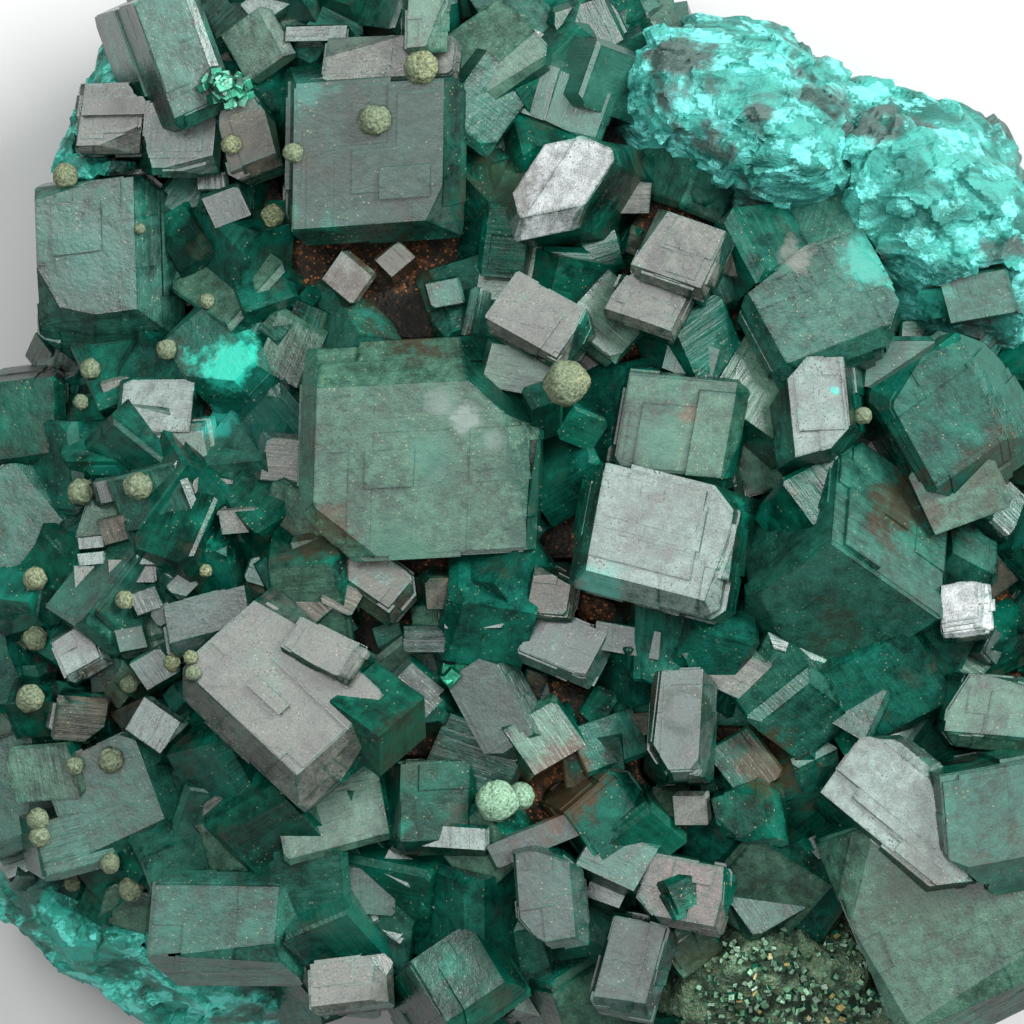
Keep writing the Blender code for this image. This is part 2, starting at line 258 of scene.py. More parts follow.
RUST = ((0.006, 0.007, 0.005), (0.030, 0.022, 0.013), (0.20, 0.075, 0.025), (0.45, 0.17, 0.05))
rock_stone = stony("rusty rock", RUST, 0.22, 1.6, 0.95)
rock_mesh = even_copy("matrix_rock", 0.7 * MM)
places, normals = corners_of(rock_mesh)
knobs = 0.6 * cloud(places, 3.2 * MM, 1) + 0.3 * cloud(places, 1.3 * MM, 2)
above = np.clip(places[:, 2] / (3 * MM), 0, 1)  # the flat underside stays flat
places += normals * (knobs * above * 0.8 * MM)[:, None]
places[:, 2] = np.maximum(places[:, 2], 0)
move_corners(rock_mesh, places)
place_in_scene("rock", rock_mesh, rock_stone, "matrix_rock", slot="matrix_rock")


# The broken green mineral round the rim. It is massive dioptase with no faces of its own, so
# it broke into curved, splintery flakes, bright turquoise where the break is fresh.


def chips(points, count, seed, tilt):
    """Splintery relief: each point belongs to the nearest of count random centres, and lies on
    that centre's own tilted plane, so the surface breaks into flat chips with sharp edges."""
    rng = np.random.default_rng(seed)
    low, high = points.min(axis=0), points.max(axis=0)
    centres = rng.uniform(low, high, (count, 3))
    slopes = rng.normal(0, tilt, (count, 3))
    levels = rng.uniform(-1, 1, count)
    relief = np.empty(len(points))
    batch = 4000  # points at a time, to save memory
    for start in range(0, len(points), batch):
        part = points[start : start + batch]
        apart = ((part[:, None] - centres) ** 2).sum(axis=2)
        nearest = apart.argmin(axis=1)
        slope = ((part - centres[nearest]) * slopes[nearest]).sum(axis=1)
        relief[start : start + batch] = slope / MM + levels[nearest]
    return relief


def broken(name, colours, seed):
    """Splintery green mineral: streaks of dark teal, turquoise and fresh bright flakes."""
    material, place, shader = finish_of(name)
    dark, middle, fresh, brown = colours
    sockets = {"Vector": place, "Rotation": (0.3, 0.2, seed), "Scale": (0.75, 1.1, 0.9)}
    along = place.make("ShaderNodeMapping", {}, sockets)
    streak = along.noise(0.30, 5, 0.62, 0.7)
    fine = along.noise(2.4, 3, 0.7)
    shade = (along + 1.5 * fine).cells(0.8, out="Color").part("Red")
    colour = streak.ramp(0.36, 0.56).mix(dark, middle)
    colour = (streak * 0.45 + shade * 0.30 + fine * 0.35).ramp(0.57, 0.70).mix(colour, fresh)
    colour = place.noise(0.15, 3, 0.65).ramp(0.50, 0.62).mix(colour, brown)
    normal = (streak * 0.9 + shade * 0.7 + fine * 0.6).relief(0.34 * MM)
    wire(shader, Base_Color=colour, Roughness=0.42 + 0.35 * fine, Normal=normal, IOR=1.5)
    return material


TURQUOISE = ((0.012, 0.150, 0.118), (0.055, 0.39, 0.33), (0.18, 0.74, 0.68), (0.070, 0.125, 0.110))
RIM_GREEN = ((0.006, 0.110, 0.080), (0.022, 0.37, 0.28), (0.13, 0.76, 0.64), (0.040, 0.13, 0.10))
ridge_break = broken("broken turquoise", TURQUOISE, 0.7)
rim_break = broken("broken rim", RIM_GREEN, 0.2)
# Each mass and its length in millimetres, which says how many chips it has.
LENGTHS = {"ridge_rear": 34, "ridge_right": 36, "rim_left": 22, "rim_front_left": 24}
for seed, (node, length) in enumerate(LENGTHS.items()):
    mesh = even_copy(node, 0.3 * MM)
    places, normals = corners_of(mesh)
    stretched = places * (0.8, 1.0, 0.8)
    hackle = 0.60 * chips(stretched, 6 * length, seed, 0.20)
    hackle += 0.28 * chips(stretched, 45 * length, seed + 50, 0.4)
    waves = 0.9 * cloud(places, 5 * MM, seed) + 0.2 * cloud(places, 1.6 * MM, seed + 9)
    places += normals * ((hackle + waves) * 0.75 * MM)[:, None]
    places[:, 2] = np.maximum(places[:, 2], 0)
    move_corners(mesh, places)
    finish = ridge_break if node.startswith("ridge") else rim_break
    place_in_scene(node + "_break", mesh, finish, node, slot="turquoise_mass")

# The mossy crust at the front: a granular skin of fine green and ochre grains on the rock.
MOSS = ((0.030, 0.060, 0.034), (0.120, 0.230, 0.135), (0.34, 0.52, 0.36), (0.42, 0.32, 0.10))
moss = stony("mossy crust", MOSS, 0.5, 2.6, 0.95)
moss_mesh = even_copy("moss_crust", 0.35 * MM)
places, normals = corners_of(moss_mesh)
grains = 0.9 * cloud(places, 2.8 * MM, 3) + 0.6 * cloud(places, 1.1 * MM, 4)
move_corners(moss_mesh, places + normals * (grains * 0.9 * MM)[:, None])
place_in_scene("mossy_grains", moss_mesh, moss, "moss_crust", slot="moss_crust")


# The large crystals. Each is deep green inside. Its growth faces are smooth but stepped, in
# thin plates that are as square as the crystal, and the faces that look up carry a grey bloom,
# which is partly a real film and partly a painted reflection of the lights above.


PARALLEL = 0.995  # faces whose normals' product is above this count as one
LEAST_FACE = 0.8 * MM**2
FLATTEST = 0.04  # three planes with a smaller determinant hardly meet
ON_PLANE = 4e-7
BEHIND = 1e-8
PLATE_DEPTH = 1.5 * MM  # how far a growth plate reaches into its crystal


def face_planes(node):
    """A CAD crystal's faces as outward normals, distances and areas, from its convex hull.
    Hull faces that are parallel count as one."""
    bm = bmesh.new()
    bm.from_mesh(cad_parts[node].data)
    bmesh.ops.remove_doubles(bm, verts=bm.verts, dist=1e-6)
    hull = bmesh.ops.convex_hull(bm, input=bm.verts)
    faces = [f for f in hull["geom"] if isinstance(f, bmesh.types.BMFace)]
    areas = np.array([f.calc_area() for f in faces])
    normals = np.array([f.normal for f in faces])
    corners = np.array([v.co for v in {v for f in faces for v in f.verts}])
    at = np.array([f.calc_center_median() for f in faces])
    bm.free()
    outward = ((at - corners.mean(axis=0)) * normals).sum(axis=1)
    normals[outward < 0] *= -1
    kinds, sizes = [], []
    for i in np.argsort(-areas):
        for k, normal in enumerate(kinds):
            if normals[i] @ normal > PARALLEL:
                sizes[k] += areas[i]
                break
        else:
            kinds.append(normals[i])
            sizes.append(areas[i])
    kinds, sizes = np.array(kinds), np.array(sizes)
    kinds, sizes = kinds[sizes > LEAST_FACE], sizes[sizes > LEAST_FACE]
    return kinds, (corners @ kinds.T).max(axis=0), sizes, corners


def cleave(normals, offsets):
    """The solid behind all of its face planes. A corner is the point where three planes meet,
    kept if it is behind every other plane, and a face is its plane's corners in order of their
    angle round its middle."""
    trios = np.array(list(itertools.combinations(range(len(normals)), 3)))
    sides = normals[trios]
    sound = abs(np.linalg.det(sides)) > FLATTEST
    points = np.linalg.solve(sides[sound], offsets[trios[sound]][..., None])[..., 0]
    points = points[(points @ normals.T < offsets + BEHIND).all(axis=1)]
    corners = np.unique(points.round(7), axis=0)
    faces = []
    for normal, offset in zip(normals, offsets):
        on = np.flatnonzero(abs(corners @ normal - offset) < ON_PLANE)
        if len(on) > 2:
            arms = corners[on] - corners[on].mean(axis=0)
            turn = np.arctan2(arms @ np.cross(normal, arms[0]), arms @ arms[0])
            faces.append(on[np.argsort(turn)])
    return corners, faces


def with_rims(corners, loops, rim):
    """Draws a second, smaller outline inside each face, one rim's width in from its edges, so
    that the finish can fade towards the edges. Returns the corners, the faces, and for each
    corner 1 if it is on an inner outline and 0 if not."""
    points, faces = [corners], []
    total = len(corners)
    for loop in loops:
        outline = corners[loop]
        arms = outline.mean(axis=0) - outline
        reach = np.linalg.norm(arms, axis=1, keepdims=True)
        points.append(outline + arms * np.minimum(1.3 * rim / reach, 0.6))
        inner = np.arange(len(loop)) + total
        around, within = np.roll(loop, -1), np.roll(inner, -1)
        faces += np.stack((loop, around, within, inner), axis=1).tolist()
        faces.append(inner.tolist())
        total += len(loop)
    inside = np.repeat((0.0, 1.0), (len(corners), total - len(corners)))
    return np.concatenate(points), faces, inside


def plate(faces, top, spans, rise):
    """A thin plate on one face: it keeps the crystal's own planes, but stands proud by a rise,
    and each (axis, low, high) of its spans bounds it along an axis that lies in the face."""
    normals, offsets = faces
    level = offsets[(normals @ top).argmax()]
    planes = [*normals, -top]
    levels = [*np.where(normals @ top > PARALLEL, level + rise, offsets + 0.7 * rise)]
    levels.append(PLATE_DEPTH - level)
    for axis, low, high in spans:
        planes += [axis, -axis]
        levels += [high, -low]
    return np.array(planes), np.array(levels)


def growth_plates(rng, axes, faces, reach, rise, count, spread):
    """Plates at random on a face, most of them flush with one of its sides. The first axis is
    the face's normal and the others lie in it."""
    plates = []
    for _ in range(count):
        proud = rise * rng.uniform(0.2, 1) ** 1.5
        spans = []
        for axis in axes[1:]:
            low, high = (reach @ axis).min(), (reach @ axis).max()
            width = (high - low) * rng.uniform(*spread)
            slack = high - low - width
            start = low + slack * rng.choice((0.02, 0.98, rng.uniform(), rng.uniform()))
            spans.append((axis, start, start + width))
        plates.append(plate(faces, axes[0], spans, proud))
    return plates


def chipped(rng, faces, corners_cut, edges_cut, depth):
    """Nicks a solid: planes cut off some of its corners and edges, each up to a depth, and
    leaning a little at random so that every edge is uneven."""
    normals, offsets = faces
    corners, loops = cleave(normals, offsets)
    points = list(corners[rng.permutation(len(corners))[:corners_cut]])
    for _ in range(edges_cut):
        loop = loops[rng.integers(len(loops))]
        at = rng.integers(len(loop))
        points.append((corners[loop[at]] + corners[loop[at - 1]]) / 2)
    planes, levels = list(normals), list(offsets)
    for point in points:
        out = normals[abs(normals @ point - offsets) < 1e-6].sum(axis=0) + rng.normal(0, 0.22, 3)
        out /= np.linalg.norm(out)
        planes.append(out)
        levels.append(out @ point - depth * rng.uniform(0.2, 1))
    return np.array(planes), np.array(levels)


# A film that covers less than THICK_FILM reaches steeper faces, and one that covers less than
# BARE_FILM is on a clear crystal. A reach is the least upward part of a face's normal.
THICK_FILM = 0.82
BARE_FILM = 0.65
THIN_REACH = 0.30
THICK_REACH = 0.54
REACH_FADE = 0.25
GRAIN_SHIFT = 400  # how far apart crystals' grains start, at most, in millimetres


def crystal_mesh(name, blocks):
    """Joins solids into one mesh. A block is (solids, axes, bloom, rim, offset of its grain).
    Each corner's grain is its place along the crystal's own edges, in millimetres, and each
    face's bloom is the colour and cover of its film, which needs a face that looks up; the film
    is partly real and partly a painted reflection of the lights above."""
    corners, faces, inner, grain, bloom_and_sheen = [], [], [], [], []
    total = 0
    for solids, axes, film_and_sheen, rim, away in blocks:
        for normals, offsets in solids:
            points, loops = cleave(normals, offsets)
            if len(points) < 4:
                continue
            points, loops, inside = with_rims(points, loops, rim)
            points[:, 2] = np.maximum(points[:, 2], 0)  # no crystal goes through the floor
            corners.append(points)
            inner.append(inside)
            grain.append(points @ axes.T / MM + away)
            bloom_and_sheen += [film_and_sheen] * len(loops)
            faces += [[i + total for i in loop] for loop in loops]
            total += len(points)
    mesh = bpy.data.meshes.new(name)
    mesh.from_pydata(np.concatenate(corners).tolist(), [], faces)
    lie = np.empty(len(mesh.polygons) * 3)
    mesh.polygons.foreach_get("normal", lie)
    tint = np.array(bloom_and_sheen)
    # Painted reflection: the bloom, which partly stands for the lights' reflection, is kept to faces
    # that look up and fades out on steeper ones.
    least = np.where(tint[:, 3] < THICK_FILM, THIN_REACH, THICK_REACH)
    tint[:, 3] *= np.clip((lie[2::3] - least) / REACH_FADE, 0, 1)
    for label, kind, per, field, values in (
        ("grain", "FLOAT_VECTOR", "POINT", "vector", np.concatenate(grain)),
        ("inner", "FLOAT", "POINT", "value", np.concatenate(inner)),
        ("bloom_and_sheen", "FLOAT_COLOR", "FACE", "color", tint),
    ):
        mesh.attributes.new(label, kind, per).data.foreach_set(field, values.ravel())
    mesh.polygons.foreach_set("material_index", [int(film_and_sheen[3] < BARE_FILM) for film_and_sheen in bloom_and_sheen])
    return mesh


# Patches of colour within and on the crystals: x, y and radius in millimetres, the colour,
# and how strong it is.
BLUSHES = (
    (-22.4, 11.6, 2.8, (0.025, 0.55, 0.40), 0.95), (-19.5, 7.5, 2.8, (0.008, 0.11, 0.09), 0.7),
    (-23.3, 7.0, 1.6, (0.03, 0.42, 0.34), 0.8), (7.0, -5.2, 2.0, (0.06, 0.42, 0.34), 0.5),
    (12.0, 5.6, 2.2, (0.05, 0.26, 0.19), 0.3), (13.6, 7.4, 1.4, (0.16, 0.07, 0.03), 0.5),
    (-5.4, 8.4, 1.6, (0.22, 0.30, 0.27), 0.5), (-3.4, 7.0, 1.6, (0.30, 0.38, 0.35), 0.55),
    (-1.8, 5.6, 1.3, (0.20, 0.28, 0.25), 0.5), (-6.5, 4.6, 2.6, (0.05, 0.26, 0.19), 0.35),
    (25.0, 9.4, 0.5, (0.02, 0.50, 0.42), 0.9), (11.0, 19.0, 1.4, (0.045, 0.05, 0.045), 0.85),
    (27.5, 19.8, 2.8, (0.05, 0.45, 0.36), 0.7), (22.0, 19.9, 1.6, (0.22, 0.24, 0.21), 0.6),
    (32.0, 17.8, 2.8, (0.04, 0.42, 0.32), 0.6), (-16.4, 33.0, 2.6, (0.04, 0.32, 0.25), 0.4),
    (-9.0, -2.6, 3.0, (0.02, 0.16, 0.10), 0.35), (25.6, -9.6, 2.4, (0.05, 0.045, 0.025), 0.35),
    (-33.0, 20.0, 3.4, (0.03, 0.20, 0.15), 0.35), (31.0, -30.0, 5.0, (0.06, 0.075, 0.045), 0.4),
    (-8.0, -18.0, 3.4, (0.060, 0.032, 0.016), 0.3), (3.5, -21.0, 4.0, (0.085, 0.035, 0.014), 0.65),
    (20.0, -19.5, 3.4, (0.10, 0.045, 0.016), 0.45), (-10.0, 17.0, 5.0, (0.05, 0.026, 0.012), 0.6),
    (31.0, 0.0, 3.6, (0.06, 0.028, 0.012), 0.6), (-14.5, -2.0, 2.6, (0.075, 0.036, 0.016), 0.5),
    (-31.0, -14.0, 3.0, (0.05, 0.032, 0.018), 0.5), (15.0, -36.0, 3.0, (0.06, 0.04, 0.015), 0.4),
    (-12.0, -31.0, 3.4, (0.03, 0.16, 0.11), 0.4), (6.0, 34.0, 4.0, (0.03, 0.14, 0.10), 0.4),
    (-1.0, 26.0, 3.6, (0.05, 0.045, 0.02), 0.5), (38.0, 4.0, 3.6, (0.05, 0.045, 0.02), 0.4),
    (1.4, 3.4, 3.0, (0.004, 0.060, 0.038), 0.85), (0.6, 8.6, 2.8, (0.006, 0.055, 0.036), 0.8),
    (1.2, -2.2, 2.6, (0.004, 0.050, 0.034), 0.7), (-8.0, -3.6, 2.2, (0.02, 0.13, 0.08), 0.5),
)  # fmt: skip


NOTCH = (13.4, -15.4, 0)  # the middle of the dark ring on one crystal
NOTCH_RADIUS = 1.7


def dioptase(name, shine):
    """Deep green crystal, brightened towards its edges as painted light coming through it, and
    darkened where it sits low as painted shade, with clouds and fine lines along its sides. Where
    it has a bloom, the face is a mottled film with tiny pits, partly a painted reflection of the
    lights above, that thins near the edges, partly as wear and partly as painted shade. All of
    it is lined up with the crystal's own edges."""
    material, place, shader = finish_of(name)
    grain, film_and_sheen, cover, inner = (
        place.make("ShaderNodeAttribute", {"attribute_name": label}, out=out)
        for label, out in (("grain", "Vector"), ("bloom_and_sheen", "Color"), ("bloom_and_sheen", "Alpha"), ("inner", "Fac"))
    )
    flat = place * (1, 1, 0)
    broad = grain.noise(0.17, 3, 0.6, 0.8)
    mottle = grain.noise(0.9, 5, 0.72)
    dust = grain.noise(9.0, 1, 0.9)
    lines = (grain * (0.12, 0.12, 2.0)).noise(1.0, 3, 0.65)
    # Painted light: near each face's edges the body is brightened, as if lit through the crystal; the
    # same mask thins the bloom there, partly as wear and partly as painted shade along the edges.
    edge_glow_and_shade = (inner * 1.1 + 1.4 * (mottle - 0.5)).ramp(0.7, 0.0)
    deep_green = (broad * 0.5 + lines * 0.25 + mottle * 0.25).ramp(0.40, 0.62)
    colour = deep_green.mix((0.0004, 0.008, 0.006), (0.001, 0.092, 0.058))
    colour = (edge_glow_and_shade * 0.16).mix(colour, (0.002, 0.11, 0.070))
    veil = grain.noise(0.24, 4, 0.62)
    colour = (veil.ramp(0.54, 0.70) * 0.6).mix(colour, (0.006, 0.24, 0.16))
    colour = (veil.ramp(0.44, 0.34) * 0.7).mix(colour, (0.040, 0.040, 0.024))
    # Painted shade: the lower a place sits, except near the rim, the nearer to black it is painted, as
    # shade deep between the crystals; the bloom is darkened by it too.
    rimward = flat.distance().ramp(36, 43)
    unshaded = (place.part("Z") + 9 * (broad - 0.5) + 20 * rimward).ramp(15, 31)
    colour = (0.25 + 0.75 * unshaded).mix((0.0025, 0.0045, 0.003), colour)
    # The bloom's cover, thinned near the edges, partly as wear and partly as painted shade, and in
    # patches.
    cover_shown = cover * (0.88 - 0.65 * edge_glow_and_shade + 1.6 * (broad - 0.5) + 1.2 * (mottle - 0.5))
    tone = 0.10 + 0.65 * mottle.ramp(0.32, 0.66) + dust.ramp(0.25, 0.75) + 0.4 * veil.ramp(0.35, 0.6)
    colour = cover_shown.mix(colour, film_and_sheen * (tone * (0.45 + 0.55 * unshaded)))
    ragged = 2.0 * (mottle - 0.5) + 2.6 * (veil - 0.5)
    for x, y, radius, tint, share in BLUSHES:
        patch = (flat.distance((x, y, 0)) * (1 / radius) + ragged).ramp(1.0, 0.35, share)
        colour = patch.mix(colour, tint)
    ring = flat.distance(NOTCH) + 1.6 * (mottle - 0.5) - NOTCH_RADIUS
    colour = (ring.size().ramp(0.55, 0.25) * 0.9).mix(colour, (0.004, 0.030, 0.018))
    width = veil.ramp(0.42, 0.60) * mottle.ramp(0.35, 0.60) * 0.34
    pale = cover.ramp(0.1, 0.6) * film_and_sheen.part("Red").ramp(0.05, 0.10)
    hole = (grain.cells(3.6) - width).ramp(0.05, -0.03) * pale
    colour = (hole * 0.85).mix(colour, (0.006, 0.020, 0.016))
    speck = place.cells(2.2).ramp(0.16, 0.10) * veil.ramp(0.48, 0.54)
    colour = (speck * 0.85).mix(colour, (0.36, 0.31, 0.17))
    normal = (1.3 * broad + 0.8 * mottle + 0.9 * lines + 0.10 * dust).relief(0.09 * MM)
    wire(shader, Base_Color=colour, Roughness=0.12 + 0.14 * cover_shown + 0.25 * mottle, Normal=normal)
    wire(shader, IOR=1.67, Specular_IOR_Level=shine)
    return material


# Bloom colours: the film's red, green and blue, and how much of the face it covers. Each is
# partly a real film and partly a painted reflection of the lights above.
WHITE = (0.30, 0.33, 0.33, 1.0)
PALE = (0.135, 0.190, 0.170, 1.0)
SPECKLED = (0.090, 0.100, 0.085, 1.0)
GREY_GREEN = (0.045, 0.115, 0.078, 0.9)
SLATE = (0.020, 0.046, 0.037, 0.9)
MIST = (0.015, 0.092, 0.066, 0.8)
TEAL = (0.004, 0.085, 0.060, 0.6)
CLEAR = (0.001, 0.070, 0.043, 0.4)
BROWN = (0.060, 0.055, 0.038, 0.9)
BLUISH = (0.042, 0.066, 0.060, 0.85)
ROSY = (0.110, 0.090, 0.082, 0.85)
LARGE = {
    "bright_square": PALE, "lower_left_slab": SPECKLED, "lower_left_giant": SPECKLED,
    "central_giant": GREY_GREEN, "smooth_overgrowth": MIST, "lower_right_bright": PALE,
    "lower_right_giant": GREY_GREEN, "rear_bright": WHITE, "square_pair_rear": SPECKLED,
    "square_pair_front": SPECKLED, "speckled": SPECKLED, "right_bright": PALE,
    "stepped": GREY_GREEN, "trigonal": MIST, "rear_grey_green": MIST, "notched": BLUISH,
    "vivid_green": CLEAR, "front_pentagon": BLUISH, "rear_left_block": SLATE,
    "rear_left_roof": SPECKLED, "rear_rectangle": GREY_GREEN, "left_round": MIST,
    "turquoise": TEAL, "dark_prism": MIST, "left_grey_slab": SLATE, "brown_twin": BROWN,
    "beige": BROWN, "grey_blue": SLATE, "under_square": BLUISH, "beside_square": BROWN,
    "left_striated": BLUISH, "right_dark": TEAL, "right_square": WHITE, "right_front": GREY_GREEN,
    "dark_front": TEAL, "rosy": ROSY, "dark_left_front": CLEAR, "deep_green": CLEAR,
    "front_speckled": SPECKLED, "front_grey": BLUISH, "front_left_striated": MIST,
    "left_brown": MIST, "left_on_green": PALE, "left_stepped": SPECKLED, "left_green": CLEAR,
    "left_pale": MIST, "left_turquoise": TEAL, "left_front": MIST, "side_hidden": TEAL,
}  # fmt: skip
# Raised slabs on the main faces: two opposite corners, seen from above, and the rise.
SLABS = {
    "left_round": ((-36.3, 24.3, -32.3, 20.7, 0.7),),
    "left_stepped": ((-33.8, 32.6, -28.6, 31.3, 0.9),),
    "rear_left_block": (
        (-12.5, 28.3, -8.6, 25.2, 0.5), (-10.4, 27.0, -6.5, 24.8, 0.8), (-5.3, 28.5, -3.5, 24.0, 0.5),
    ),
    "stepped": ((10.2, 8.6, 13.8, 3.2, 0.45), (14.6, 9.6, 17.4, 2.6, 0.8)),
    "central_giant": (
        (-15.4, 4.6, -12.9, -2.5, 0.5), (-11.4, 4.8, -7.6, 2.0, 0.6), (-9.4, 1.0, -4.0, -4.4, 0.35),
    ),
    "bright_square": ((10.2, 2.4, 11.9, 0.6, 0.4), (5.2, -2.0, 11.2, -7.6, 0.25)),
    "lower_right_giant": ((25.8, -17.4, 34.0, -16.0, 0.6), (28.0, -31.0, 36.0, -37.0, 0.4)),
    "lower_left_giant": (
        (-20.6, -13.4, -17.2, -15.0, 0.9), (-22.8, -14.6, -16.6, -20.4, 0.5),
        (-18.4, -11.4, -12.6, -17.0, 0.6),
    ),
    "right_bright": ((22.0, 10.6, 26.0, 6.4, 0.3),),
    "rear_grey_green": ((19.0, 17.6, 25.0, 13.0, 0.3),),
}  # fmt: skip
# Extra sloping faces: the direction it faces and its height above level, in degrees, and
# a point of the main face that it passes through, seen from above.
FACETS = {
    "central_giant": ((44, 34, -0.4, 7.4), (-4, 42, 0.9, 2.0), (232, 48, -13.4, -2.2)),
    "left_round": ((252, 42, -32.0, 15.4), (2, 36, -28.6, 19.0), (205, 50, -36.2, 17.0)),
    "right_dark": ((140, 44, 32.0, 12.0), (210, 40, 32.4, 3.4), (60, 46, 38.0, 13.0)),
    "rear_bright": ((300, 40, 6.4, 24.4), (240, 46, 0.8, 22.6)),
    "rear_grey_green": ((150, 50, 18.6, 19.2), (262, 44, 24.0, 11.4)),
    "lower_right_giant": ((110, 52, 30.0, -22.0), (176, 46, 26.0, -30.0)),
    "turquoise": ((20, 36, -20.6, 14.6), (250, 40, -22.6, 10.4)),
    "vivid_green": ((90, 40, 20.0, -22.6), (220, 42, 17.6, -25.4)),
    "lower_left_giant": ((318, 48, -13.4, -21.0), (190, 56, -24.0, -14.4)),
    "front_left_striated": ((90, 40, -23.4, -29.4), (0, 50, -17.8, -33.0)),
}  # fmt: skip
UPWARD = 0.6  # a main face's normal points up by more than this
SQUARE = 0.3  # faces whose normals' product is below this are nearly square
BUSY = 8  # a face with more growth plates than this has thick ones
crystal = dioptase("dioptase with bloom", 0.5)
bare_crystal = dioptase("clear dioptase", 0.22)
for seed, (short, bloom_and_sheen) in enumerate(LARGE.items()):
    node = "crystal_" + short
    rng = np.random.default_rng(seed)
    normals, offsets, areas, corners = face_planes(node)
    main = max(range(len(normals)), key=lambda i: areas[i] * (normals[i][2] > UPWARD))
    square = [i for i in range(len(normals)) if abs(normals[i] @ normals[main]) < SQUARE]
    side = normals[max(square, key=lambda i: areas[i])]
    third = normals[max(square, key=lambda i: areas[i] * (abs(normals[i] @ side) < SQUARE))]
    top = normals[main]
    for about, above, x, y in FACETS.get(short, ()):
        about, above = math.radians(about), math.radians(above)
        level = math.cos(above)
        out = np.array((level * math.cos(about), level * math.sin(about), math.sin(above)))
        at = np.array((x, y, 0)) * MM
        at[2] = (offsets[main] - at @ top) / top[2]
        normals, offsets = np.vstack((normals, out)), np.append(offsets, out @ at)
    nick = min(0.26 * MM, math.sqrt(areas[main]) / 20)
    normals, offsets = chipped(rng, (normals, offsets), 3, 5, nick)
    solids = [(normals, offsets)]
    count = int(np.clip(areas[main] / MM**2 / 7, 4, 18))
    rise = 0.42 * MM if count > BUSY else 0.24 * MM
    faces = (normals, offsets)
    solids += growth_plates(rng, (top, side, third), faces, corners, rise, count, (0.25, 0.85))
    for face in (side, -side, third, -third):
        if abs((normals @ face).max() - 1) < 0.01:
            others = [a for a in (top, side, third) if abs(a @ face) < SQUARE][:2]
            if len(others) == 2:
                solids += growth_plates(rng, (face, *others), faces, corners, rise, 4, (0.2, 0.7))
    for a, b, c, d, lift in SLABS.get(short, ()):
        level = offsets[(normals @ top).argmax()]
        ends = np.array(((a, b, 0), (c, d, 0))) * MM
        ends[:, 2] = (level - ends @ top) / top[2]
        spans = [(axis, (ends @ axis).min(), (ends @ axis).max()) for axis in (side, third)]
        solids.append(plate(faces, top, spans, lift * MM))
    along = np.cross(top, side)
    along /= np.linalg.norm(along)
    axes = np.array((along, np.cross(top, along), top))
    mesh = crystal_mesh(short, [(solids, axes, bloom_and_sheen, 0.45 * MM, rng.uniform(0, GRAIN_SHIFT, 3))])
    piece = place_in_scene(short + "_crystal", mesh, crystal, node, slot="dioptase")
    mesh.materials.append(bare_crystal)
    edge = piece.modifiers.new("worn edges", "BEVEL")
    edge.width = 0.06 * MM
    edge.segments = 2
    edge.limit_method = "ANGLE"


# The small crystals, which fill every gap between the large ones. They are the same mineral
# in the same form, one to four millimetres across, and lean every way.

AXIAL_RATIO = 0.5335
POLAR = math.atan(AXIAL_RATIO * 4 / math.sqrt(3))


def rhomb_axes():
    """The normals of the three faces round a dioptase crystal's end, the first along +Z."""
    about = np.array((0, -1, 1)) * 2 * math.pi / 3
    out = math.sin(POLAR)
    three = (out * np.cos(about), out * np.sin(about), np.full(3, math.cos(POLAR)))
    three = np.stack(three, axis=1)
    x = np.cross(three[0], three[1])
    x /= np.linalg.norm(x)
    return three @ np.array((x, np.cross(three[0], x), three[0])).T


def small_solids(rng, middle, size, turn):
    """A block of the three faces and their opposites, bevelled by the prism, with a smaller
    block or two grown on it. The size is the two edges of its main face and its depth."""
    axes = rhomb_axes() @ turn.T
    solids = []
    half = np.array((size[2], size[1], size[0])) / 2
    shift = np.zeros(3)
    pairs = ((0, 1), (0, 2), (1, 2))
    bevels = np.array([axes[i] - axes[j] for i, j in pairs])
    long = np.linalg.norm(bevels, axis=1)
    for scale in (1, rng.uniform(0.6, 0.85), rng.uniform(0.35, 0.6)):
        cut = np.array([half[i] + half[j] for i, j in pairs]) * scale / long
        cut -= rng.uniform(0.02, 0.13, 3) * min(size)
        faces = np.concatenate((axes, -axes, bevels / long[:, None], -bevels / long[:, None]))
        reach = np.concatenate((half * scale, half * scale, cut, cut))
        solids.append(chipped(rng, (faces, reach + faces @ (middle + shift)), 2, 1, 0.07 * min(size)))
        lift = (1.06 - scale, rng.uniform(-0.4, 0.4), rng.uniform(-0.4, 0.4))
        shift = axes.T @ (half * lift)
    return solids, axes


def turned(lean, toward, spin):
    """A turn by spin about +Z, and then a lean in one direction, all in degrees."""
    lean, toward, spin = (math.radians(angle) for angle in (lean, toward, spin))
    axis = (-math.sin(toward), math.cos(toward), 0)
    return np.array(Matrix.Rotation(lean, 3, axis) @ Matrix.Rotation(spin, 3, "Z"))


def surface_tree(names):
    """One search tree over several CAD nodes, with each face's node."""
    corners, faces, owner = [], [], []
    for name in names:
        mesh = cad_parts[name].data
        mesh.calc_loop_triangles()
        start = len(corners)
        corners += [v.co for v in mesh.vertices]
        faces += [[start + i for i in t.vertices] for t in mesh.loop_triangles]
        owner += [name] * len(mesh.loop_triangles)
    return BVHTree.FromPolygons(corners, faces), owner


GROWN_ON = (1.8, 3.0)  # a crystal bigger than each of these has one more block grown on it


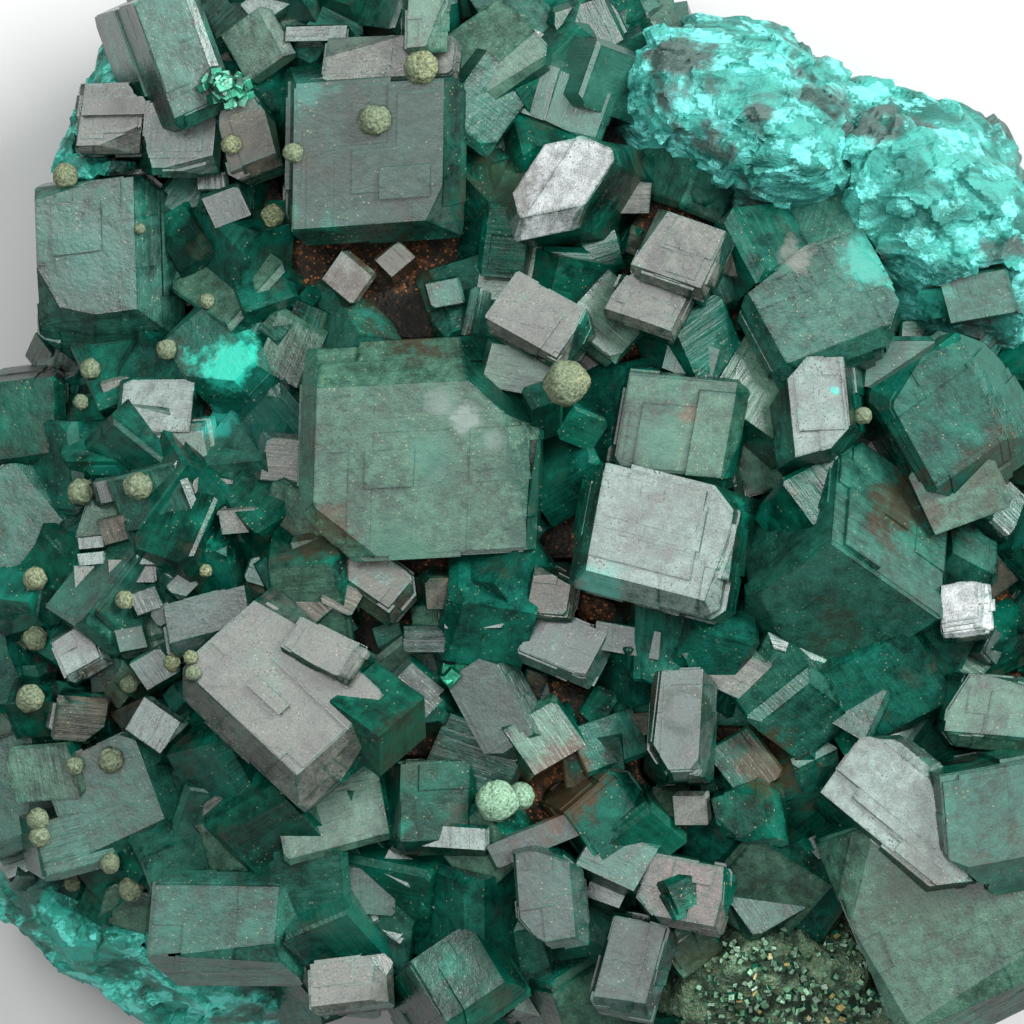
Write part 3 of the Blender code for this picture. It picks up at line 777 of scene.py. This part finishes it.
def druse(name, spots, seed):
    """Many small crystals as one piece. A spot is (top, size, lean, toward, spin, bloom), and
    its top is the middle of its main face."""
    rng = np.random.default_rng(seed)
    blocks = []
    for top, size, lean, toward, spin, film_and_sheen in spots:
        turn = turned(lean, toward, spin)
        middle = np.array(top) - turn[:, 2] * size[2] / 2
        solids, axes = small_solids(rng, middle, size, turn)
        count = 1 + sum(max(size) > least * MM for least in GROWN_ON)
        away = rng.uniform(0, GRAIN_SHIFT, 3)
        blocks.append((solids[:count], axes, film_and_sheen, min(size) / 9, away))
    piece = place_in_scene(name, crystal_mesh(name, blocks), crystal, slot="dioptase")
    piece.data.materials.append(bare_crystal)


perch_tree, perch_owner = surface_tree(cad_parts)


def perch(x, y):
    """The height of the CAD model straight below a point, and the node that is there."""
    hit, normal, face, _ = perch_tree.ray_cast(Vector((x, y, SKY)), DOWN)
    return (hit, normal, perch_owner[face]) if hit else (None, None, None)


# Places in millimetres: x, y, the main face's two edges, and the direction of the first.
CHOSEN = {
    GREY_GREEN: (
        (-20.3, 36.9, 4.4, 4.0, -60), (-26.3, 4.6, 4.6, 4.0, 5),
        (0.4, 11.0, 3.4, 4.8, 75), (2.5, -17.6, 4.6, 4.4, 30),
        (35.0, 1.5, 6.0, 5.0, 20), (-37.0, -20.8, 5.2, 4.0, 5), (-9.2, 19.6, 2.2, 1.8, 40),
        (-15.6, -3.4, 3.0, 2.8, 10), (2.6, -38.0, 4.2, 4.0, -15), (-14.4, -23.6, 5.0, 8.0, -80),
    ),
    MIST: (
        (0.2, 34.0, 6.2, 4.6, -20), (4.6, 32.0, 5.4, 4.0, -25), (-19.0, 8.0, 5.4, 5.6, 20),
        (30.5, 11.6, 3.6, 5.0, 85), (-5.4, 17.0, 2.4, 2.0, 10), (20.2, -14.0, 2.4, 3.6, 60),
        (19.6, -30.2, 4.6, 5.0, 30), (8.4, -27.0, 4.0, 4.6, 60), (25.6, -14.6, 6.0, 4.0, -30),
        (-34.6, -26.0, 4.4, 5.6, -80), (36.5, 17.0, 4.8, 3.6, 10), (14.0, 12.0, 4.0, 3.0, -20),
    ),
    PALE: (
        (-27.9, 8.2, 4.0, 5.4, 85), (-33.3, -2.6, 1.9, 0.9, 5), (-33.3, -3.9, 1.9, 0.9, 5),
        (-28.7, -3.4, 1.9, 1.7, 0), (-28.2, -16.8, 3.6, 3.0, -35), (-12.0, -32.0, 2.4, 1.8, 25),
        (-9.4, -32.4, 2.2, 2.6, 50), (-5.3, -30.4, 2.4, 2.2, 60), (-4.2, -32.0, 1.4, 3.0, 20),
        (7.5, -30.0, 1.8, 2.8, 65), (-5.2, -25.6, 5.6, 1.8, -4), (-9.0, -27.9, 2.6, 2.2, -30),
        (-14.0, -31.9, 3.0, 2.4, 10), (-3.2, -8.3, 4.2, 1.8, 0), (22.8, -13.0, 2.4, 3.6, 55),
        (-19.5, 40.0, 3.0, 2.2, 35), (-15.3, 37.6, 1.2, 4.4, 85), (-2.2, -28.4, 2.2, 1.4, 20),
    ),
    SPECKLED: (
        (-17.4, 4.0, 3.4, 4.4, 80), (-13.0, 18.4, 3.0, 2.8, -40), (17.6, -12.6, 3.6, 4.8, 60),
        (-22.1, -23.8, 3.4, 3.0, 35), (-31.0, 9.3, 2.4, 2.0, 15), (-30.0, -4.7, 3.4, 1.9, 0),
        (9.3, 24.5, 2.2, 3.2, 85), (-21.6, -0.9, 2.6, 1.8, 5), (-33.2, -5.2, 2.6, 1.8, 0),
        (29.1, 4.4, 1.6, 4.4, 75), (13.9, -23.4, 2.6, 2.4, 0), (-20.9, -25.6, 1.8, 1.4, 25),
    ),
    BROWN: (
        (-33.9, -16.6, 3.2, 3.6, 80), (-31.2, -1.6, 2.4, 1.8, 15), (-23.6, 1.2, 2.8, 3.2, 75),
        (-5.6, -6.6, 2.4, 2.2, 0), (-13.2, -6.8, 2.2, 2.6, 60), (-35.0, -16.4, 2.0, 2.6, 80),
        (17.4, 19.2, 2.4, 1.8, -20), (-15.7, -7.2, 2.6, 2.8, 40), (5.4, 11.8, 2.4, 2.0, 30),
    ),
    BLUISH: (
        (-11.7, -30.0, 4.4, 3.4, -5), (-30.2, -31.8, 2.6, 4.6, 75), (-7.7, -14.0, 3.6, 3.4, 45),
        (-22.6, 23.9, 2.8, 2.6, 20), (1.6, -26.1, 6.4, 1.8, 22), (-23.8, 26.0, 2.2, 1.4, 0),
        (8.8, -10.2, 4.6, 2.0, -10), (-28.1, -12.4, 2.8, 2.4, 30), (-30.1, -10.2, 2.0, 1.6, 10),
        (-31.6, 1.6, 2.2, 1.8, 10), (-35.6, 4.7, 2.0, 1.8, 5), (-25.9, -6.0, 1.8, 1.6, 45),
        (-28.8, -7.1, 2.2, 1.8, 20), (-31.2, -7.5, 1.8, 1.6, 0), (-6.7, -10.2, 1.8, 3.0, 85),
        (-29.2, -1.2, 1.8, 1.4, 15), (-27.4, -8.2, 1.6, 1.4, 30), (22.8, -26.4, 1.8, 5.8, -75),
    ),
    CLEAR: (
        (13.8, -30.0, 2.8, 2.8, 20), (-38.0, -16.6, 3.4, 3.0, 10), (10.6, -26.0, 4.4, 4.0, 40),
        (24.2, 1.6, 5.0, 4.0, 30), (5.6, 6.2, 2.6, 3.0, 60), (2.2, 9.0, 2.4, 2.0, 20),
        (-6.5, -30.0, 2.4, 2.0, 30), (-10.6, -14.6, 4.6, 5.0, 45), (33.6, 16.2, 3.0, 2.2, 10),
        (-33.4, 8.0, 2.4, 2.0, 10), (6.2, 38.0, 5.0, 4.6, 20),
    ),
}  # fmt: skip
LARGER = 1.12  # makes up for the bevels
BRIGHT = (13, 125)  # the lean of a face that shines, and its direction
rng = np.random.default_rng(77)
spots = []
for film_and_sheen, places in CHOSEN.items():
    for x, y, long, wide, spin in places:
        hit, _, owner = perch(x * MM, y * MM)
        proud = 4.4 * MM if owner == "matrix_rock" else 0.4 * MM
        long, wide = LARGER * long, LARGER * wide
        leans = (20, 32) if film_and_sheen == CLEAR else (2, 14)
        lean, toward = BRIGHT if film_and_sheen == PALE else (rng.uniform(*leans), rng.uniform(0, 360))
        top = (x * MM, y * MM, hit.z + proud)
        size = (long * MM, wide * MM, max(long, wide, 5) * MM)
        spots.append((top, size, lean, toward, spin, film_and_sheen))
druse("chosen_crystals", spots, 8)


# Where the rock shows through: x, y and radius, in millimetres.
BARE = ((-9, 18.4, 6.2), (-7, -17, 2.6), (4, -21.5, 2.4), (20, -19, 2.4), (31, 0, 2.6))
LOWEST = 13 * MM  # below this the rock counts as its side


def scattered(seed, spacing, sizes, films_and_sheens, skip=0.0):
    """Spots on the rock between the large crystals, seen from above."""
    rng = np.random.default_rng(seed)
    low, high = (np.array(c) for c in cad_box)
    found = []
    steps = (high[:2] - low[:2]) / spacing
    for i, j in itertools.product(range(int(steps[0]) + 1), range(int(steps[1]) + 1)):
        x, y = low[:2] + (np.array((i, j)) + rng.uniform(0, 1, 2)) * spacing
        size = rng.uniform(*sizes) * MM * rng.uniform(0.75, 1.25, 3)
        chance, share, tilt, swing, spin = rng.uniform(0, 1, 5)
        hit, normal, owner = perch(x, y)
        bare = any(math.hypot(x / MM - a, y / MM - b) < r for a, b, r in BARE)
        if owner != "matrix_rock" or hit.z < LOWEST or bare or chance < skip:
            continue
        top = np.array(hit) + np.array(normal) * size[2] * (0.28 + 0.5 * share)
        lean = math.degrees(math.acos(min(1, normal.z))) * 0.6 + 6 + 32 * tilt
        toward = math.degrees(math.atan2(normal.y, normal.x)) + 140 * (swing - 0.5)
        found.append((top, size, lean, toward, 360 * spin, films_and_sheens[rng.integers(len(films_and_sheens))]))
    return found


def on_the_sides(seed, count):
    """Spots on the rock's sides, fewer lower down."""
    rng = np.random.default_rng(seed)
    found = []
    for _ in range(count):
        about, z = rng.uniform(0, 2 * math.pi), rng.triangular(4, 21, 24) * MM
        away = Vector((math.cos(about), math.sin(about), 0))
        size = rng.uniform(1.4, 4.4) * MM * rng.uniform(0.75, 1.25, 3)
        lean, swing, spin, pick = rng.uniform(0, 1, 4)
        hit, normal, face, _ = perch_tree.ray_cast(away * 0.08 + Vector((0, 0, z)), -away)
        if hit is None or perch_owner[face] != "matrix_rock" or z < max(size):
            continue
        top = np.array(hit) + np.array(normal) * size[2] * 0.45
        films_and_sheens = (MIST, TEAL, CLEAR, GREY_GREEN, BROWN)
        toward = math.degrees(about) + 80 * (swing - 0.5)
        film_and_sheen = films_and_sheens[int(pick * len(films_and_sheens))]
        found.append((top, size, 45 + 40 * lean, toward, 360 * spin, film_and_sheen))
    return found


films_and_sheens = (CLEAR, TEAL, TEAL, MIST, MIST, GREY_GREEN)
spots = scattered(4, 3.4 * MM, (3.6, 7.6), films_and_sheens)
# One of them would come up through the central giant's face, so it is left out.
spots = [s for s in spots if math.hypot(s[0][0] / MM + 4.6, s[0][1] / MM + 2.8) > 3.2]
druse("middling_crystals", spots, 5)
films_and_sheens = (CLEAR, CLEAR, TEAL, TEAL, MIST, GREY_GREEN, BROWN, BLUISH)
druse("small_crystals", scattered(6, 2.3 * MM, (1.2, 3.2), films_and_sheens, 0.3), 7)
druse("side_crystals", on_the_sides(9, 650), 10)

# Patches of bright green sugar: crystals under a millimetre, which stand every way.
SUGAR = (  # x, y and radius in millimetres
    (-22.2, 33.5, 1.7), (-19.8, 2.3, 1.3), (-18.6, 1.0, 1.1), (-4.2, -11.3, 1.1), (-4.8, -12.4, 0.7),
)  # fmt: skip
SUGAR_GREEN = (0.05, 0.42, 0.25, 0.95)
rng = np.random.default_rng(12)
spots = []
for x, y, reach in SUGAR:
    for _ in range(int(40 * reach)):
        about, share, lean, toward, spin = rng.uniform(0, 1, 5) * (2 * math.pi, 1, 50, 360, 360)
        at = np.array((x + reach * share * math.cos(about), y + reach * share * math.sin(about))) * MM
        size = rng.uniform(0.5, 1.1, 3) * MM
        hit, *_ = perch(*at)
        top = (*at, hit.z + (2.2 * (1 - share**2) + 0.5) * MM * rng.uniform(0.6, 1))
        spots.append((top, size, lean, toward, spin, SUGAR_GREEN))
druse("green_sugar", spots, 13)

# The moss's own grains: the same tiny crystals, olive and ochre, thick on the mossy crust.
GRAINS = (
    (0.13, 0.27, 0.15, 0.95), (0.22, 0.42, 0.26, 0.95),
    (0.08, 0.19, 0.10, 0.95), (0.38, 0.31, 0.10, 0.95),
)  # fmt: skip
spots = []
for _ in range(900):
    x, y, lean, toward, spin, pick = rng.uniform((8, -45, 0, 0, 0, 0), (33, -31, 80, 360, 360, 3.15))
    hit, _, owner = perch(x * MM, y * MM)
    if owner == "moss_crust":
        size = rng.uniform(0.2, 0.6, 3) * MM
        top = np.array(hit) + (0, 0, rng.uniform(0.1, 0.9) * MM)
        spots.append((top, size, lean, toward, spin, GRAINS[int(pick)]))
druse("moss_grains", spots, 14)


# The pale balls. They are tufts of hair-thin needles that grew last, on top of the crystals,
# so close together that each tuft is a pitted yellow-green ball.

BALLS = {  # x, y and radius in millimetres
    (-7.1, 34.6): 1.3, (-10.7, 30.5): 1.25, (4.2, 10): 1.75, (-22, 28.8): 0.8, (-17.1, 28): 0.8,
    (-18.8, 23.3): 0.9, (-24, 16.6): 0.6, (-27.2, 12.8): 0.8, (-35.2, 26.5): 1.0, (-29.3, 22.3): 0.45,
    (-34.1, 1.6): 1.05, (-29.3, 2): 1.1, (-37.7, -5.3): 0.95, (-37.7, -10): 0.95, (-38, -14.7): 1.1,
    (-30.4, -6.9): 0.75, (-30.2, -13.6): 0.7, (-25, -11.3): 0.55, (-24.8, -12.5): 0.6,
    (-26.7, -11.8): 0.7, (-24, -4.6): 0.5, (-33.3, 11.3): 0.8, (-34, 8.7): 0.6, (-31.6, -19.6): 1.0,
    (-34.4, -20): 0.7, (-37.3, -24.2): 0.9, (-37.2, -25.6): 0.8, (-31.7, -27.7): 0.8,
    (-34.9, -29.5): 0.65, (-30.1, -29.8): 0.95, (27.4, 7.5): 0.7, (-1.2, -22.7): 1.6, (0.6, -22.3): 1.1,
}  # fmt: skip


MINT_PAIR = (-0.4, -22.6, 0)  # the two balls round this place are mint green
FLATTENED = 0.85  # a ball's height over its width
SUNK = 0.45  # how high a ball's middle is above what it rests on, in radii


def ball_finish():
    """Pale yellow-green, with painted shade in the pits between the needles' ends."""
    material, place, shader = finish_of("needle balls")
    pit = place.cells(2.6)
    fine = place.noise(5.0, 4, 0.7)
    colour = fine.ramp(0.35, 0.7).mix((0.085, 0.13, 0.075), (0.26, 0.31, 0.19))
    mint = fine.ramp(0.3, 0.7).mix((0.10, 0.24, 0.14), (0.38, 0.60, 0.42))
    colour = (place * (1, 1, 0)).distance(MINT_PAIR).ramp(3.2, 2.8).mix(colour, mint)
    yellow = place.noise(0.08, 1).ramp(0.5, 0.6) * fine.ramp(0.45, 0.6)
    colour = (yellow * 0.5).mix(colour, (0.45, 0.42, 0.18))
    # Painted shade: the pits between the needles' ends are painted dark.
    colour = pit.ramp(0.35, 0.0).mix(colour, (0.03, 0.055, 0.03))
    wire(shader, Base_Color=colour, Roughness=0.75, Normal=(fine * 0.5 + pit).relief(0.12 * MM))
    return material


def ball_meshes(middles, radii, seed):
    """Spheres with a pitted skin: the radius at each point is the ball's radius, less a noise
    that is fixed to the ball."""
    bm = bmesh.new()
    bmesh.ops.create_icosphere(bm, subdivisions=4, radius=1)
    unit = np.array([v.co for v in bm.verts])
    faces = np.array([[v.index for v in f.verts] for f in bm.faces])
    bm.free()
    corners, loops = [], []
    for i, (middle, radius) in enumerate(zip(middles, radii)):
        skin = 1 + 0.10 * cloud(unit, 0.5, seed + i) + 0.07 * cloud(unit, 0.2, seed + i)
        corners.append(np.array(middle) + unit * radius * skin[:, None] * (1, 1, FLATTENED))
        loops.append(faces + i * len(unit))
    mesh = bpy.data.meshes.new("balls")
    mesh.from_pydata(np.concatenate(corners).tolist(), [], np.concatenate(loops).tolist())
    mesh.polygons.foreach_set("use_smooth", [True] * len(mesh.polygons))
    return mesh


graph = bpy.context.evaluated_depsgraph_get()


def top_of_pieces(x, y):
    """The highest point of a finished piece on the vertical line through a spot. The CAD
    nodes, which the pieces stand for, are passed through."""
    start = Vector((x, y, SKY))
    while True:
        _, at, _, _, thing, _ = bpy.context.scene.ray_cast(graph, start, DOWN)
        if thing.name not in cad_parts:
            return at
        start = at + DOWN * 0.001 * MM


# A ball rests on the highest piece beneath it, which may be a crystal's edge near its rim.
RIMWARD = 0.7  # how far out it is felt for, in radii
AROUND = [(math.cos(k * math.pi / 4) * RIMWARD, math.sin(k * math.pi / 4) * RIMWARD) for k in range(8)]
middles = []
for (x, y), radius in BALLS.items():
    felt = [top_of_pieces((x + radius * a) * MM, (y + radius * b) * MM).z for a, b in ((0, 0), *AROUND)]
    middles.append((x * MM, y * MM, max(felt) + SUNK * radius * MM))
balls = ball_meshes(middles, np.array(list(BALLS.values())) * MM, 30)
nodes = [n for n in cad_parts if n.startswith("ball_")]
place_in_scene("needle_balls", balls, ball_finish(), *nodes, slot="botryoid")


# The plain floor, the soft lights round the specimen and the camera above it.

floor_mesh = bpy.data.meshes.new("floor")
floor_mesh.from_pydata([(-2, -2, 0), (2, -2, 0), (2, 2, 0), (-2, 2, 0)], [], [(0, 1, 2, 3)])
floor = bpy.data.objects.new("floor", floor_mesh)
bpy.context.scene.collection.objects.link(floor)
paper, place, shader = finish_of("floor paper")
grey = place.noise(0.01, 2).mix((0.62, 0.62, 0.625), (0.66, 0.66, 0.66))
wire(shader, Base_Color=grey, Roughness=0.9)
floor_mesh.materials.append(paper)

CROWN = Vector((0, 0, 34 * MM))  # the height of most of the crystals' tops


def softbox(name, azimuth, off_vertical, away, size, power):
    """A square light that looks at the crystals, in degrees, metres and watts. Azimuth 0 is
    +X and 90 is +Y."""
    light = bpy.data.lights.new(name, "AREA")
    light.shape = "SQUARE"
    light.size = size
    light.energy = power
    lamp = bpy.data.objects.new(name, light)
    about, off = math.radians(azimuth), math.radians(off_vertical)
    out = Vector((math.sin(off) * math.cos(about), math.sin(off) * math.sin(about), math.cos(off)))
    lamp.location = CROWN + out * away
    lamp.rotation_euler = out.to_track_quat("Z", "Y").to_euler()
    lamp.visible_camera = False
    bpy.context.scene.collection.objects.link(lamp)


softbox("key", 35, 52, 0.8, 0.35, 8.5)
softbox("overhead", 0, 0, 1.1, 0.9, 5.6)
softbox("gloss", 125, 26, 0.95, 0.40, 3.6)

world = bpy.data.worlds.new("studio")
world.use_nodes = True
world.node_tree.nodes["Background"].inputs["Color"].default_value = (1, 1, 1, 1)
world.node_tree.nodes["Background"].inputs["Strength"].default_value = 0.15
bpy.context.scene.world = world

VIEW_WIDTH = 80 * MM  # how much the camera sees at the crown's height
camera = bpy.data.cameras.new("camera")
camera.sensor_width = 36
camera.lens = 300
camera.clip_start = 0.01
eye = bpy.data.objects.new("camera", camera)
eye.location = CROWN + Vector((0, 0, VIEW_WIDTH * camera.lens / camera.sensor_width))
bpy.context.scene.collection.objects.link(eye)
bpy.context.scene.camera = eye
bpy.context.scene.view_settings.view_transform = "Standard"
